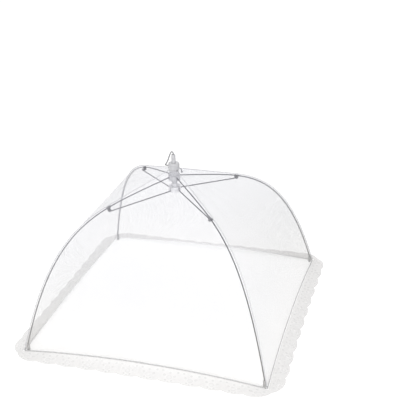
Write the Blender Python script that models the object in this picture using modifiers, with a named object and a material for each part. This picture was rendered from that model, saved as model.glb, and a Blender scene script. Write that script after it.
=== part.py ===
"""Pop-up food cover: a square net canopy on four sprung ribs with a folding umbrella mechanism.

The origin is on the table under the middle of the canopy, +Z is up and -Y is the front.
All lengths are in metres. Arm 1 points to the front right corner, and the arms go on
anticlockwise. Side 1 faces the front, and the sides go on anticlockwise too.
"""
import math

import bmesh
import bpy
from mathutils import Matrix, Vector

# Clearances and cuts
GAP = 0.0003
CUT_OVERRUN = 0.004
MERGE_DISTANCE = 0.00005
SHARP_ANGLE = math.radians(40.0)

# Wire frame
WIRE_R = 0.0010
PIN_R = 0.0008
EYE_R = PIN_R + GAP + WIRE_R
EYE_OPENING_DEG = 110.0
EYE_POINTS = 11

# Rib, from its hinge in the crown to its foot in the corner
HINGE_R = 0.0075
HINGE_Z = 0.2610
RIB_TOP_Z = HINGE_Z + EYE_R
RIB_FOOT_R = 0.3035
RIB_SLOPE_SHARE = 0.24
RIB_POWER = 4.5
RIB_STATIONS = 22

# Foot cap on each rib end
FOOT_R = 0.0026
FOOT_H = 0.0120
FOOT_ROUND = 0.0008
FOOT_GAP = 0.0006

# Clip that carries the strut under each rib
CLIP_AT_R = 0.1280
CLIP_DROP = 0.0042
SLEEVE_L = 0.0080
SLEEVE_WALL = 0.0007
SLEEVE_R = WIRE_R + GAP + SLEEVE_WALL
EAR_L = 0.0044
EAR_MARGIN = 0.0016

# The struts lie in a layer of their own beside the clips, with a rivet through the outer eye
LAYER = SLEEVE_R + GAP + WIRE_R
RIVET_HEAD_R = 0.0022
RIVET_HEAD_T = 0.0008

# Crown
BORE_R = 0.0015
CROWN_NECK_R = 0.0048
CROWN_RIM = 0.0012
CROWN_FLANGE_R = HINGE_R + EYE_R + CROWN_RIM
CROWN_FLANGE_BOTTOM_Z = 0.2565
CROWN_BODY_R = 0.0085
CROWN_SLOT_ROOF = 0.0005
CROWN_SHOULDER = 0.0012
CROWN_PIN_SEAT = 0.0021
CROWN_PIN_HALF_L = WIRE_R + GAP + CROWN_PIN_SEAT

# Knob and tip on top of the crown
KNOB_R = 0.0100
KNOB_H = 0.0122
KNOB_ROUND = 0.0022
TIP_R = 0.0037
TIP_TOP_R = 0.0033
TIP_H = 0.0150
TIP_COLLAR_R = 0.0044
TIP_COLLAR_H = 0.0030

# Runner that the struts push against
RUNNER_HINGE_Z = 0.2395
RUNNER_PIN_SEAT = 0.0006
RUNNER_PIN_HALF_L = WIRE_R + GAP + RUNNER_PIN_SEAT
RUNNER_R = math.hypot(HINGE_R + PIN_R + 2 * GAP, LAYER + RUNNER_PIN_HALF_L + 2 * GAP)
RUNNER_CORE_R = 0.0043
RUNNER_BOTTOM_Z = 0.2350
RUNNER_FLANGE_H = 0.0095
RUNNER_H = 0.0142

# Pull cord
CORD_R = 0.0011
CORD_KNOT_R = 0.0027
CORD_STEPS = 4

# Canopy
CANOPY_T = 0.0010
BINDING_R = 0.0012
CANOPY_UP = SLEEVE_R + 2 * GAP + BINDING_R
CANOPY_OUT = FOOT_R + GAP + BINDING_R
STRAIGHT_R = CLIP_AT_R - SLEEVE_L / 2
HEM_RAISE = 0.0100
HEM_BOW = 0.0030
RAISE_POWER = 6.0
BOW_POWER = 2.5
PANEL_ROWS = 18
PANEL_COLUMNS = 10
BINDING_STATIONS = 16
HEM_STATIONS = 12

# Lace that lies on the table round the hem
LACE_W = 0.0260
LACE_T = 0.0010
LACE_GAP = 0.0006
LACE_SCALLOPS = 12
SCALLOP_DEPTH = 0.0040
SCALLOP_POINTS = 5
LACE_TURN_SHARE = 0.14
LACE_CORNER_SHARE = 0.45

# Values that follow from the sizes above
FOOT_TOP_Z = FOOT_H + FOOT_GAP
CANOPY_CORNER_R = RIB_FOOT_R + CANOPY_OUT
CANOPY_C = CANOPY_CORNER_R / math.sqrt(2)
HEM_Z = GAP + BINDING_R
TURNED_SIDES = 32
SMALL_SIDES = 16
ARM_ANGLES = [math.radians(-45.0 + 90.0 * k) for k in range(4)]
SIDE_ANGLES = [math.radians(-90.0 + 90.0 * k) for k in range(4)]

# Free end of the pull cord, from the tip down over the back of the canopy
FREE_CORD_ROUTE = [
    (0.0000, 0.0000, 0.3048),
    (0.0000, 0.0000, 0.3062),
    (-0.0010, 0.0008, 0.3074),
    (-0.0030, 0.0022, 0.3080),
    (-0.0052, 0.0040, 0.3066),
    (-0.0082, 0.0068, 0.3018),
    (-0.0120, 0.0108, 0.2940),
    (-0.0165, 0.0165, 0.2850),
    (-0.0215, 0.0235, 0.2770),
    (-0.0262, 0.0315, 0.2706),
    (-0.0302, 0.0405, 0.2655),
    (-0.0328, 0.0510, 0.2600),
    (-0.0335, 0.0625, 0.2542),
    (-0.0318, 0.0755, 0.2478),
    (-0.0288, 0.0880, 0.2419),
    (-0.0268, 0.1005, 0.2356),
    (-0.0266, 0.1125, 0.2280),
    (-0.0284, 0.1235, 0.2206),
    (-0.0310, 0.1335, 0.2128),
]


def sprung_height(r, top_z, foot_r):
    """Height of a sprung arc at distance r from the axis: flat at the top, steep at its foot."""
    u = (r - HINGE_R) / (foot_r - HINGE_R)
    return top_z * (1 - RIB_SLOPE_SHARE * u - (1 - RIB_SLOPE_SHARE) * u ** RIB_POWER)


def rib_height(r):
    """Height of a rib's centre line at distance r from the axis."""
    return sprung_height(r, RIB_TOP_Z, RIB_FOOT_R)


def canopy_height(r):
    """Height of the canopy's middle layer over a rib: on the rib's bow, and straight to the crown."""
    top_z = RIB_TOP_Z + CANOPY_UP
    if r > STRAIGHT_R:
        return sprung_height(r, top_z, CANOPY_CORNER_R)
    bow_z = sprung_height(STRAIGHT_R, top_z, CANOPY_CORNER_R)
    slope = (bow_z - sprung_height(STRAIGHT_R - GAP, top_z, CANOPY_CORNER_R)) / GAP
    return bow_z + slope * (r - STRAIGHT_R)


def radius_at(height_of, height, low_r, high_r):
    """Distance from the axis where a falling profile reaches the given height."""
    for _ in range(60):
        middle = (low_r + high_r) / 2
        if height_of(middle) > height:
            low_r = middle
        else:
            high_r = middle
    return (low_r + high_r) / 2


def even_stations(height_of, start_r, end_r, count):
    """Radii that cut a profile into stretches of the same length."""
    fine = 400
    radii = [start_r + (end_r - start_r) * i / fine for i in range(fine + 1)]
    lengths = [0.0]
    for before, after in zip(radii, radii[1:]):
        step = math.hypot(after - before, height_of(after) - height_of(before))
        lengths.append(lengths[-1] + step)
    stations = []
    index = 0
    for k in range(count + 1):
        target = lengths[-1] * k / count
        while index < fine and lengths[index] < target:
            index += 1
        stations.append(radii[index])
    return stations


def smooth_route(points, steps):
    """Points of a smooth curve through the given ones, which stay on it."""
    ends = [points[0], *points, points[-1]]
    route = []
    for a, b, c, d in zip(ends, ends[1:], ends[2:], ends[3:]):
        a, b, c, d = Vector(a), Vector(b), Vector(c), Vector(d)
        for i in range(steps):
            t = i / steps
            route.append(0.5 * (2 * b + (c - a) * t + (2 * a - 5 * b + 4 * c - d) * t ** 2
                                + (3 * b - a - 3 * c + d) * t ** 3))
    route.append(Vector(points[-1]))
    return route


def clear_scene():
    for thing in list(bpy.data.objects):
        bpy.data.objects.remove(thing, do_unlink=True)
    for old in list(bpy.data.collections):
        bpy.data.collections.remove(old)


def collection(name):
    new = bpy.data.collections.new(name)
    bpy.context.scene.collection.children.link(new)
    return new


def material(name, colour, roughness, metallic=0.0):
    new = bpy.data.materials.new(name)
    new.use_nodes = True
    shader = new.node_tree.nodes["Principled BSDF"]
    shader.inputs["Base Color"].default_value = (*colour, 1.0)
    shader.inputs["Roughness"].default_value = roughness
    shader.inputs["Metallic"].default_value = metallic
    new.diffuse_color = (*colour, 1.0)
    return new


def add(name, data, look, place=None, parent=None):
    """Put mesh or curve data in the cover's collection, at a place, or in its parent's frame."""
    thing = bpy.data.objects.new(name, data)
    if look is not None:
        data.materials.append(look)
    COVER.objects.link(thing)
    if parent is not None:
        thing.parent = parent
    if place is not None:
        thing.matrix_local = place
    return thing


def mesh_from(bm, name):
    """Mesh data from a bmesh, shaded smooth between its sharp edges."""
    bmesh.ops.recalc_face_normals(bm, faces=bm.faces)
    data = bpy.data.meshes.new(name)
    bm.to_mesh(data)
    bm.free()
    data.shade_smooth()
    data.set_sharp_from_angle(angle=SHARP_ANGLE)
    return data


def cylinder_mesh(name, radius, depth, sides, matrix=Matrix(), top_radius=None):
    bm = bmesh.new()
    end_radius = radius if top_radius is None else top_radius
    bmesh.ops.create_cone(
        bm, cap_ends=True, segments=sides, radius1=radius, radius2=end_radius, depth=depth, matrix=matrix)
    return mesh_from(bm, name)


def box_mesh(name, size, centre):
    bm = bmesh.new()
    matrix = Matrix.Translation(centre) @ Matrix.Diagonal((*size, 1.0))
    bmesh.ops.create_cube(bm, size=1.0, matrix=matrix)
    return mesh_from(bm, name)


def turned(name, outline, look, sides=TURNED_SIDES, place=None):
    """Turn a closed outline of (radius, height) points round the Z axis."""
    data = bpy.data.meshes.new(name)
    points = [(r, 0.0, z) for r, z in outline]
    edges = [(i, (i + 1) % len(points)) for i in range(len(points))]
    data.from_pydata(points, edges, [])
    thing = add(name, data, look, place)
    screw = thing.modifiers.new("turn", "SCREW")
    screw.angle = math.tau
    screw.steps = sides
    screw.render_steps = sides
    screw.use_merge_vertices = True
    screw.merge_threshold = MERGE_DISTANCE
    screw.use_normal_flip = True
    return thing


def wire(name, points, radius, look, place=None, parent=None):
    """A round wire or tape along a list of points, with closed ends."""
    data = bpy.data.curves.new(name, "CURVE")
    data.dimensions = "3D"
    data.bevel_depth = radius
    data.bevel_resolution = 2
    data.use_fill_caps = True
    spline = data.splines.new("POLY")
    spline.points.add(len(points) - 1)
    for point, target in zip(spline.points, points):
        point.co = (*target, 1.0)
    return add(name, data, look, place, parent)


def cut(thing, cutter_data, name, place, parent=None):
    """Take a cutter's shape out of a piece."""
    cutter = bpy.data.objects.new(name, cutter_data)
    CUTTERS.objects.link(cutter)
    cutter.hide_render = True
    cutter.display_type = "WIRE"
    cutter.parent = parent
    cutter.matrix_local = place
    boolean = thing.modifiers.new(name, "BOOLEAN")
    boolean.operation = "DIFFERENCE"
    boolean.solver = "EXACT"
    boolean.object = cutter


def join_shape(thing, shape_data, name, place, parent=None):
    """Grow a piece by another shape, as one closed solid."""
    shape = bpy.data.objects.new(name, shape_data)
    CUTTERS.objects.link(shape)
    shape.hide_render = True
    shape.display_type = "WIRE"
    shape.parent = parent
    shape.matrix_local = place
    boolean = thing.modifiers.new(name, "BOOLEAN")
    boolean.operation = "UNION"
    boolean.solver = "EXACT"
    boolean.object = shape


def turned_about_z(angle, offset=(0.0, 0.0, 0.0)):
    """A frame turned about the cover's axis, then moved along its own axes."""
    return Matrix.Rotation(angle, 4, "Z") @ Matrix.Translation(offset)


def across(length_centre=(0.0, 0.0, 0.0)):
    """Turn a cylinder's axis from Z to Y, with its middle at the given place."""
    return Matrix.Translation(length_centre) @ Matrix.Rotation(math.radians(90.0), 4, "X")


def eye_points(centre, start_deg, end_deg):
    """Points round a pin in the XZ plane, for the open eye at a wire's end."""
    points = []
    for k in range(EYE_POINTS):
        angle = math.radians(start_deg + (end_deg - start_deg) * k / (EYE_POINTS - 1))
        points.append(Vector((
            centre.x + EYE_R * math.cos(angle), centre.y, centre.z + EYE_R * math.sin(angle))))
    return points


def crown_heights():
    """Heights in the crown that follow from the hinge and from the canopy's inner edge."""
    slot_roof = HINGE_Z + EYE_R + WIRE_R + CROWN_SLOT_ROOF
    flange_top = slot_roof + CROWN_SHOULDER
    panel_inner_c = CROWN_BODY_R + GAP
    canopy_top = canopy_height(panel_inner_c * math.sqrt(2)) + CANOPY_T
    knob_bottom = canopy_top + GAP
    neck_bottom = RUNNER_BOTTOM_Z + RUNNER_H + GAP
    return slot_roof, flange_top, knob_bottom, neck_bottom


def build_crown(plastic, steel):
    """The moulded crown with a slot for each rib, its hinge pins, and the knob and tip above it."""
    slot_roof, flange_top, knob_bottom, neck_bottom = crown_heights()
    body_top = knob_bottom - GAP
    crown = turned("crown_hub", [
        (BORE_R, neck_bottom),
        (CROWN_NECK_R, neck_bottom),
        (CROWN_NECK_R, CROWN_FLANGE_BOTTOM_Z),
        (CROWN_FLANGE_R, CROWN_FLANGE_BOTTOM_Z),
        (CROWN_FLANGE_R, flange_top),
        (CROWN_BODY_R, flange_top),
        (CROWN_BODY_R, body_top),
        (BORE_R, body_top),
    ], plastic)
    slot_depth = slot_roof - CROWN_FLANGE_BOTTOM_Z + CUT_OVERRUN
    slot_inner = HINGE_R - EYE_R - WIRE_R - GAP
    slot_outer = CROWN_FLANGE_R + CUT_OVERRUN
    slot_size = (slot_outer - slot_inner, 2 * (WIRE_R + GAP), slot_depth)
    slot_centre = ((slot_outer + slot_inner) / 2, 0.0, slot_roof - slot_depth / 2)
    for k, angle in enumerate(ARM_ANGLES, 1):
        cut(crown, box_mesh("crown_slot", slot_size, slot_centre), f"crown_slot_{k}", turned_about_z(angle))
        pin_bore = cylinder_mesh(
            "crown_pin_bore", PIN_R + GAP, 2 * (CROWN_PIN_HALF_L + GAP), SMALL_SIDES, across())
        hinge = turned_about_z(angle, (HINGE_R, 0.0, HINGE_Z))
        cut(crown, pin_bore, f"crown_pin_bore_{k}", hinge)
        pin = cylinder_mesh("crown_pin", PIN_R, 2 * CROWN_PIN_HALF_L, SMALL_SIDES, across())
        add(f"crown_pin_{k}", pin, steel, hinge)
    knob_top = knob_bottom + KNOB_H
    turned("crown_knob", [
        (BORE_R, knob_bottom),
        (KNOB_R - KNOB_ROUND / 2, knob_bottom),
        (KNOB_R, knob_bottom + KNOB_ROUND / 2),
        (KNOB_R, knob_top - KNOB_ROUND),
        (KNOB_R - KNOB_ROUND / 3, knob_top - KNOB_ROUND / 3),
        (KNOB_R - KNOB_ROUND, knob_top),
        (BORE_R, knob_top),
    ], plastic)
    tip_bottom = knob_top + GAP
    tip_top = tip_bottom + TIP_H
    turned("crown_tip", [
        (BORE_R, tip_bottom),
        (TIP_COLLAR_R, tip_bottom),
        (TIP_COLLAR_R, tip_bottom + TIP_COLLAR_H / 2),
        (TIP_R, tip_bottom + TIP_COLLAR_H),
        (TIP_R, tip_top - TIP_COLLAR_H),
        (TIP_TOP_R, tip_top),
        (BORE_R, tip_top),
    ], plastic, SMALL_SIDES)
    return tip_top


def build_ribs(steel, dark, rubber):
    """Four sprung ribs with an eye at the crown, a clip for the strut and a cap on the foot."""
    foot_r = radius_at(rib_height, FOOT_TOP_Z, HINGE_R, RIB_FOOT_R)
    top = Vector((0.0, 0.0, 0.0))
    eye = eye_points(top, 90.0 + 360.0 - EYE_OPENING_DEG, 90.0)
    stations = even_stations(rib_height, HINGE_R, foot_r, RIB_STATIONS)
    line = [Vector((r - HINGE_R, 0.0, rib_height(r) - HINGE_Z)) for r in stations[1:]]
    clip_z = rib_height(CLIP_AT_R)
    slope = (rib_height(CLIP_AT_R + GAP) - rib_height(CLIP_AT_R - GAP)) / (2 * GAP)
    clip_place = Matrix.Translation((CLIP_AT_R - HINGE_R, 0.0, clip_z - HINGE_Z))
    along_rib = Matrix.Rotation(math.radians(90.0) - math.atan(slope), 4, "Y")
    for k, angle in enumerate(ARM_ANGLES, 1):
        hinge = turned_about_z(angle, (HINGE_R, 0.0, HINGE_Z))
        rib = wire(f"rib_{k}", eye + line, WIRE_R, steel, hinge)

        sleeve = cylinder_mesh("sleeve", SLEEVE_R, SLEEVE_L, SMALL_SIDES, along_rib)
        clip = add(f"rib_clip_{k}", sleeve, dark, clip_place, rib)
        ear_top = -(WIRE_R + GAP + SLEEVE_WALL / 2)
        ear_bottom = -(CLIP_DROP + EAR_MARGIN)
        ear = box_mesh("ear", (EAR_L, 2 * SLEEVE_R, ear_top - ear_bottom), (
            0.0, 0.0, (ear_top + ear_bottom) / 2))
        join_shape(clip, ear, f"clip_ear_{k}", clip_place, rib)
        bore = cylinder_mesh(
            "sleeve_bore", WIRE_R + GAP, SLEEVE_L + 2 * CUT_OVERRUN, SMALL_SIDES, along_rib)
        cut(clip, bore, f"clip_bore_{k}", clip_place, rib)

        foot_place = Matrix.Translation((foot_r - HINGE_R, 0.0, FOOT_H / 2 - HINGE_Z))
        foot = add(f"rib_foot_{k}", cylinder_mesh("foot", FOOT_R, FOOT_H, SMALL_SIDES), rubber,
                   foot_place, rib)
        bevel = foot.modifiers.new("round", "BEVEL")
        bevel.width = FOOT_ROUND
        bevel.segments = 1
        bevel.angle_limit = SHARP_ANGLE


def build_struts(steel):
    """Four straight struts with an eye on the runner and a riveted eye beside the rib clip."""
    clip = Vector((CLIP_AT_R, 0.0, rib_height(CLIP_AT_R) - CLIP_DROP))
    base = Vector((HINGE_R, 0.0, RUNNER_HINGE_Z))
    reach = clip - base
    tilt = math.degrees(math.atan2(reach.z, reach.x))
    inner = eye_points(Vector((0.0, 0.0, 0.0)), tilt - 90.0 - 360.0 + EYE_OPENING_DEG, tilt - 90.0)
    outer = eye_points(reach, tilt - 90.0, tilt - 90.0 + 360.0 - EYE_OPENING_DEG)
    pin_start = SLEEVE_R + GAP - LAYER
    pin_end = WIRE_R + GAP + RIVET_HEAD_T / 2
    for k, angle in enumerate(ARM_ANGLES, 1):
        hinge = turned_about_z(angle, (HINGE_R, LAYER, RUNNER_HINGE_Z))
        strut = wire(f"strut_{k}", inner + outer, WIRE_R, steel, hinge)
        place = Matrix.Translation(reach)
        middle = across((0.0, (pin_start + pin_end) / 2, 0.0))
        pin = cylinder_mesh("rivet", PIN_R, pin_end - pin_start, SMALL_SIDES, middle)
        rivet = add(f"strut_rivet_{k}", pin, steel, place, strut)
        head = cylinder_mesh("rivet_head", RIVET_HEAD_R, RIVET_HEAD_T, SMALL_SIDES, across((
            0.0, WIRE_R + GAP + RIVET_HEAD_T / 2, 0.0)))
        join_shape(rivet, head, f"rivet_head_{k}", place, strut)


def build_runner(plastic, steel):
    """The runner with a slot for each strut, its hinge pins, and its bore for the cord."""
    top = RUNNER_BOTTOM_Z + RUNNER_H
    flange_top = RUNNER_BOTTOM_Z + RUNNER_FLANGE_H
    runner = turned("runner", [
        (BORE_R, RUNNER_BOTTOM_Z),
        (RUNNER_R, RUNNER_BOTTOM_Z),
        (RUNNER_R, flange_top),
        (RUNNER_CORE_R, flange_top),
        (RUNNER_CORE_R, top),
        (BORE_R, top),
    ], plastic)
    slot_inner = HINGE_R - EYE_R - WIRE_R - GAP
    slot_outer = RUNNER_R + CUT_OVERRUN
    slot_height = RUNNER_FLANGE_H + 2 * CUT_OVERRUN
    slot_size = (slot_outer - slot_inner, 2 * (WIRE_R + GAP), slot_height)
    slot_centre = ((slot_outer + slot_inner) / 2, LAYER, RUNNER_BOTTOM_Z + RUNNER_FLANGE_H / 2)
    for k, angle in enumerate(ARM_ANGLES, 1):
        cut(runner, box_mesh("runner_slot", slot_size, slot_centre), f"runner_slot_{k}", turned_about_z(angle))
        hinge = turned_about_z(angle, (HINGE_R, LAYER, RUNNER_HINGE_Z))
        pin_bore = cylinder_mesh(
            "runner_pin_bore", PIN_R + GAP, 2 * (RUNNER_PIN_HALF_L + GAP), SMALL_SIDES, across())
        cut(runner, pin_bore, f"runner_pin_bore_{k}", hinge)
        pin = cylinder_mesh("runner_pin", PIN_R, 2 * RUNNER_PIN_HALF_L, SMALL_SIDES, across())
        add(f"runner_pin_{k}", pin, steel, hinge)


def panel_point(station_r, share, across_share):
    """A point of a panel that faces +X: down the profile by a radius, across by a share."""
    c = station_r / math.sqrt(2)
    slack = 1 - across_share ** 2
    x = c - HEM_BOW * slack * share ** BOW_POWER
    z = canopy_height(station_r) + HEM_RAISE * slack * share ** RAISE_POWER
    edge = c - (BINDING_R + GAP) * math.sqrt(2)
    return Vector((x, edge * across_share, z))


def build_canopy(net, tape):
    """Four net panels, the tapes over the ribs and the tapes round the hem."""
    inner_c = CROWN_BODY_R + GAP
    panel_bottom_z = HEM_Z + BINDING_R + GAP + CANOPY_T / 2
    bottom_r = radius_at(canopy_height, panel_bottom_z, inner_c, CANOPY_CORNER_R)
    stations = even_stations(canopy_height, inner_c * math.sqrt(2), bottom_r, PANEL_ROWS)
    tape_start = KNOB_R + GAP
    tape_end_z = HEM_Z + BINDING_R + GAP
    tape_end = radius_at(canopy_height, tape_end_z, tape_start, CANOPY_CORNER_R)
    tape_stations = even_stations(canopy_height, tape_start, tape_end, BINDING_STATIONS)
    for k, angle in enumerate(ARM_ANGLES, 1):
        line = [Vector((r, 0.0, canopy_height(r))) for r in tape_stations]
        wire(f"rib_tape_{k}", line, BINDING_R, tape, turned_about_z(angle))
    half = CANOPY_C - BINDING_R - GAP
    for k, angle in enumerate(SIDE_ANGLES, 1):
        bm = bmesh.new()
        rows = []
        for i, r in enumerate(stations):
            row = []
            for j in range(PANEL_COLUMNS + 1):
                share = 2 * j / PANEL_COLUMNS - 1
                row.append(bm.verts.new(panel_point(r, i / PANEL_ROWS, share)))
            rows.append(row)
        for upper, lower in zip(rows, rows[1:]):
            for j in range(PANEL_COLUMNS):
                bm.faces.new((upper[j], lower[j], lower[j + 1], upper[j + 1]))
        panel = add(f"net_panel_{k}", mesh_from(bm, "net_panel"), net, turned_about_z(angle))
        thick = panel.modifiers.new("thickness", "SOLIDIFY")
        thick.thickness = CANOPY_T
        thick.offset = 0.0
        hem = []
        for j in range(HEM_STATIONS + 1):
            share = 2 * j / HEM_STATIONS - 1
            slack = 1 - share ** 2
            hem.append(Vector((CANOPY_C - HEM_BOW * slack, half * share, HEM_Z + HEM_RAISE * slack)))
        wire(f"hem_tape_{k}", hem, BINDING_R, tape, turned_about_z(angle))


def build_lace(lace):
    """Four strips of scalloped lace from the hem out over the table, gathered at the corners."""
    count = LACE_SCALLOPS * SCALLOP_POINTS
    reach = CANOPY_C + BINDING_R + LACE_GAP
    side_gap = LACE_GAP * math.sqrt(2)
    for k, angle in enumerate(SIDE_ANGLES, 1):
        bm = bmesh.new()
        rows = []
        for j in range(count + 1):
            share = 2 * j / count - 1
            slack = 1 - share ** 2
            wave = abs(math.sin(math.pi * LACE_SCALLOPS * j / count))
            turn = max(0.0, (abs(share) - 1 + LACE_TURN_SHARE) / LACE_TURN_SHARE)
            gather = 1 - (1 - LACE_CORNER_SHARE) * turn ** 2
            width = (LACE_W - SCALLOP_DEPTH * (1 - wave)) * gather
            heading = math.radians(45.0) * turn * math.copysign(1, share)
            inner = Vector((reach - HEM_BOW * slack, (reach - side_gap) * share, HEM_Z + HEM_RAISE * slack))
            outer = inner + width * Vector((math.cos(heading), math.sin(heading), 0.0))
            outer.z = GAP + LACE_T / 2
            rows.append([bm.verts.new(inner), bm.verts.new((inner + outer) / 2), bm.verts.new(outer)])
        for before, after in zip(rows, rows[1:]):
            for j in range(2):
                bm.faces.new((before[j], before[j + 1], after[j + 1], after[j]))
        strip = add(f"lace_{k}", mesh_from(bm, "lace"), lace, turned_about_z(angle))
        thick = strip.modifiers.new("thickness", "SOLIDIFY")
        thick.thickness = LACE_T
        thick.offset = 0.0


def build_cord(cord, tip_top):
    """The pull cord: its stretch inside the crown, its free end and the two knots."""
    lower_knot_z = RUNNER_BOTTOM_Z - GAP - CORD_KNOT_R
    start = Vector((0.0, 0.0, RUNNER_BOTTOM_Z - GAP))
    wire("cord_inner", [start, Vector((0.0, 0.0, tip_top))], CORD_R, cord)
    route = smooth_route(FREE_CORD_ROUTE, CORD_STEPS)
    wire("cord_free", route, CORD_R, cord)
    end = route[-1]
    way = (end - route[-2]).normalized()
    for name, centre in (
            ("cord_knot_runner", Vector((0.0, 0.0, lower_knot_z - GAP))),
            ("cord_knot_end", end + way * (CORD_KNOT_R + GAP))):
        bm = bmesh.new()
        bmesh.ops.create_uvsphere(bm, u_segments=SMALL_SIDES, v_segments=8, radius=CORD_KNOT_R)
        add(name, mesh_from(bm, name), cord, Matrix.Translation(centre))


clear_scene()
COVER = collection("food_cover")
CUTTERS = collection("cutters")


def build():
    plastic = material("white plastic", (0.80, 0.80, 0.80), 0.35)
    steel = material("spring steel", (0.34, 0.34, 0.35), 0.30, 1.0)
    dark = material("blackened clip", (0.12, 0.12, 0.13), 0.45, 0.8)
    rubber = material("white foot cap", (0.85, 0.85, 0.85), 0.5)
    net = material("white net", (0.93, 0.93, 0.94), 0.85)
    tape = material("white tape", (0.86, 0.86, 0.87), 0.8)
    lace = material("white lace", (0.90, 0.90, 0.90), 0.85)
    cord = material("white cord", (0.85, 0.85, 0.84), 0.8)
    tip_top = build_crown(plastic, steel)
    build_ribs(steel, dark, rubber)
    build_struts(steel)
    build_runner(plastic, steel)
    build_canopy(net, tape)
    build_lace(lace)
    build_cord(cord, tip_top)
    print("tip top", round(tip_top, 5))


build()
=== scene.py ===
import math

import bpy
from mathutils import Matrix, Vector
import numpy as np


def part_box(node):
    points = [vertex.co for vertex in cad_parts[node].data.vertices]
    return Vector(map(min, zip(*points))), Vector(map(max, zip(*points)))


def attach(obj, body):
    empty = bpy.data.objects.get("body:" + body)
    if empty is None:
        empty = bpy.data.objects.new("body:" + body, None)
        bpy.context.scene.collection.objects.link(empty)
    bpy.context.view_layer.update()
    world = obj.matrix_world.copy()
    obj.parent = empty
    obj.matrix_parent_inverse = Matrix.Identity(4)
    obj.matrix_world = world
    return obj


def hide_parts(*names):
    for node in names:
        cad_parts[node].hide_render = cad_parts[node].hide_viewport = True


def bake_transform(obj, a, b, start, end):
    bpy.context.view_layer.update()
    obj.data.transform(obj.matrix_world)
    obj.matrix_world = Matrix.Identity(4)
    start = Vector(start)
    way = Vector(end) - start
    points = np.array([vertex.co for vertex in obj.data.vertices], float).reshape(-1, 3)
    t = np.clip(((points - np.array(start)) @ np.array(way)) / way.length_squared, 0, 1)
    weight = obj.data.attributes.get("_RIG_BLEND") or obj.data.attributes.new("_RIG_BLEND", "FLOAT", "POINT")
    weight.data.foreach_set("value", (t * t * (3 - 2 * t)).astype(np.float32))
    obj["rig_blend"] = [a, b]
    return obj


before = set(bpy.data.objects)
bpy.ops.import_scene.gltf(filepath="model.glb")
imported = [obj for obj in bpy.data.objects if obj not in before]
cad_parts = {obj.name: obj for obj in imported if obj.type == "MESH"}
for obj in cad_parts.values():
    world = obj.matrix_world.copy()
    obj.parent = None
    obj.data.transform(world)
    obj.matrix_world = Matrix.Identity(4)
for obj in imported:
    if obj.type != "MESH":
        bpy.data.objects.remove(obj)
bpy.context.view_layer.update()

# Camera
# A portrait lens from the front and a little above, turned towards the right side.
# Its place was worked out from the four feet and the hub in the photograph.
CAMERA_AZIMUTH = math.radians(16.706)
CAMERA_ELEVATION = math.radians(25.982)
CAMERA_ROLL = math.radians(-1.648)
CAMERA_DISTANCE = 1.7073
CAMERA_TARGET = Vector((0.00365, 0.20195, 0.10))
CAMERA_LENS = 70.69
CAMERA_SENSOR = 36.0


def add_object(name, data):
    """Put an object with the given data in the scene."""
    made = bpy.data.objects.new(name, data)
    bpy.context.scene.collection.objects.link(made)
    return made


to_camera = Vector((math.sin(CAMERA_AZIMUTH) * math.cos(CAMERA_ELEVATION),
                    -math.cos(CAMERA_AZIMUTH) * math.cos(CAMERA_ELEVATION),
                    math.sin(CAMERA_ELEVATION)))
level_right = Vector((math.cos(CAMERA_AZIMUTH), math.sin(CAMERA_AZIMUTH), 0.0))
level_up = to_camera.cross(level_right)
camera_right = math.cos(CAMERA_ROLL) * level_right + math.sin(CAMERA_ROLL) * level_up
camera_up = to_camera.cross(camera_right)
camera_data = bpy.data.cameras.new("camera")
camera_data.lens = CAMERA_LENS
camera_data.sensor_width = CAMERA_SENSOR
camera = add_object("camera", camera_data)
turn = Matrix((camera_right, camera_up, to_camera)).transposed().to_4x4()
camera.matrix_world = Matrix.Translation(CAMERA_TARGET + CAMERA_DISTANCE * to_camera) @ turn
bpy.context.scene.camera = camera
bpy.context.scene.view_settings.view_transform = "Standard"

# Pull cord, free end
# A thin twisted cord that comes out of the tip's bore, bends over and falls to the back.
# It lies over the back net panel and ends in a knot; pulling it opens the frame.
CORD_R = 0.0011
CORD_EXIT = (0.0000, 0.0000, 0.3048)
CORD_ROUTE = [
    CORD_EXIT,
    (0.0000, 0.0000, 0.3062),
    (-0.0010, 0.0008, 0.3074),
    (-0.0030, 0.0022, 0.3080),
    (-0.0052, 0.0040, 0.3066),
    (-0.0082, 0.0068, 0.3018),
    (-0.0120, 0.0108, 0.2940),
    (-0.0165, 0.0165, 0.2850),
    (-0.0215, 0.0235, 0.2770),
    (-0.0262, 0.0315, 0.2706),
    (-0.0302, 0.0405, 0.2655),
    (-0.0328, 0.0510, 0.2600),
    (-0.0335, 0.0625, 0.2542),
    (-0.0318, 0.0755, 0.2478),
    (-0.0288, 0.0880, 0.2419),
    (-0.0268, 0.1005, 0.2356),
    (-0.0266, 0.1125, 0.2280),
    (-0.0284, 0.1235, 0.2206),
    (-0.0310, 0.1335, 0.2128),
]
CORD_STEPS = 4
STRAND_PITCH = 0.006
STRAND_DEPTH = 0.0003
WIRE_ROUNDING = 3


def node_material(name, colour, roughness, metallic=0.0):
    """A material with a Principled shader, and its node tree and shader to build on."""
    made = bpy.data.materials.new(name)
    made.use_nodes = True
    shader = made.node_tree.nodes["Principled BSDF"]
    shader.inputs["Base Color"].default_value = (*colour, 1.0)
    shader.inputs["Roughness"].default_value = roughness
    shader.inputs["Metallic"].default_value = metallic
    return made, made.node_tree, shader


def socket_of(group, name, kind, direction, value=None):
    """Give a node group an input or an output, with its starting value."""
    socket = group.interface.new_socket(name=name, in_out=direction, socket_type=kind)
    if value is not None:
        socket.default_value = value


def set_input(tree, slot, value):
    """Link an input to a socket, or give it a value."""
    if isinstance(value, bpy.types.NodeSocket):
        tree.links.new(value, slot)
    else:
        slot.default_value = value


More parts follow.
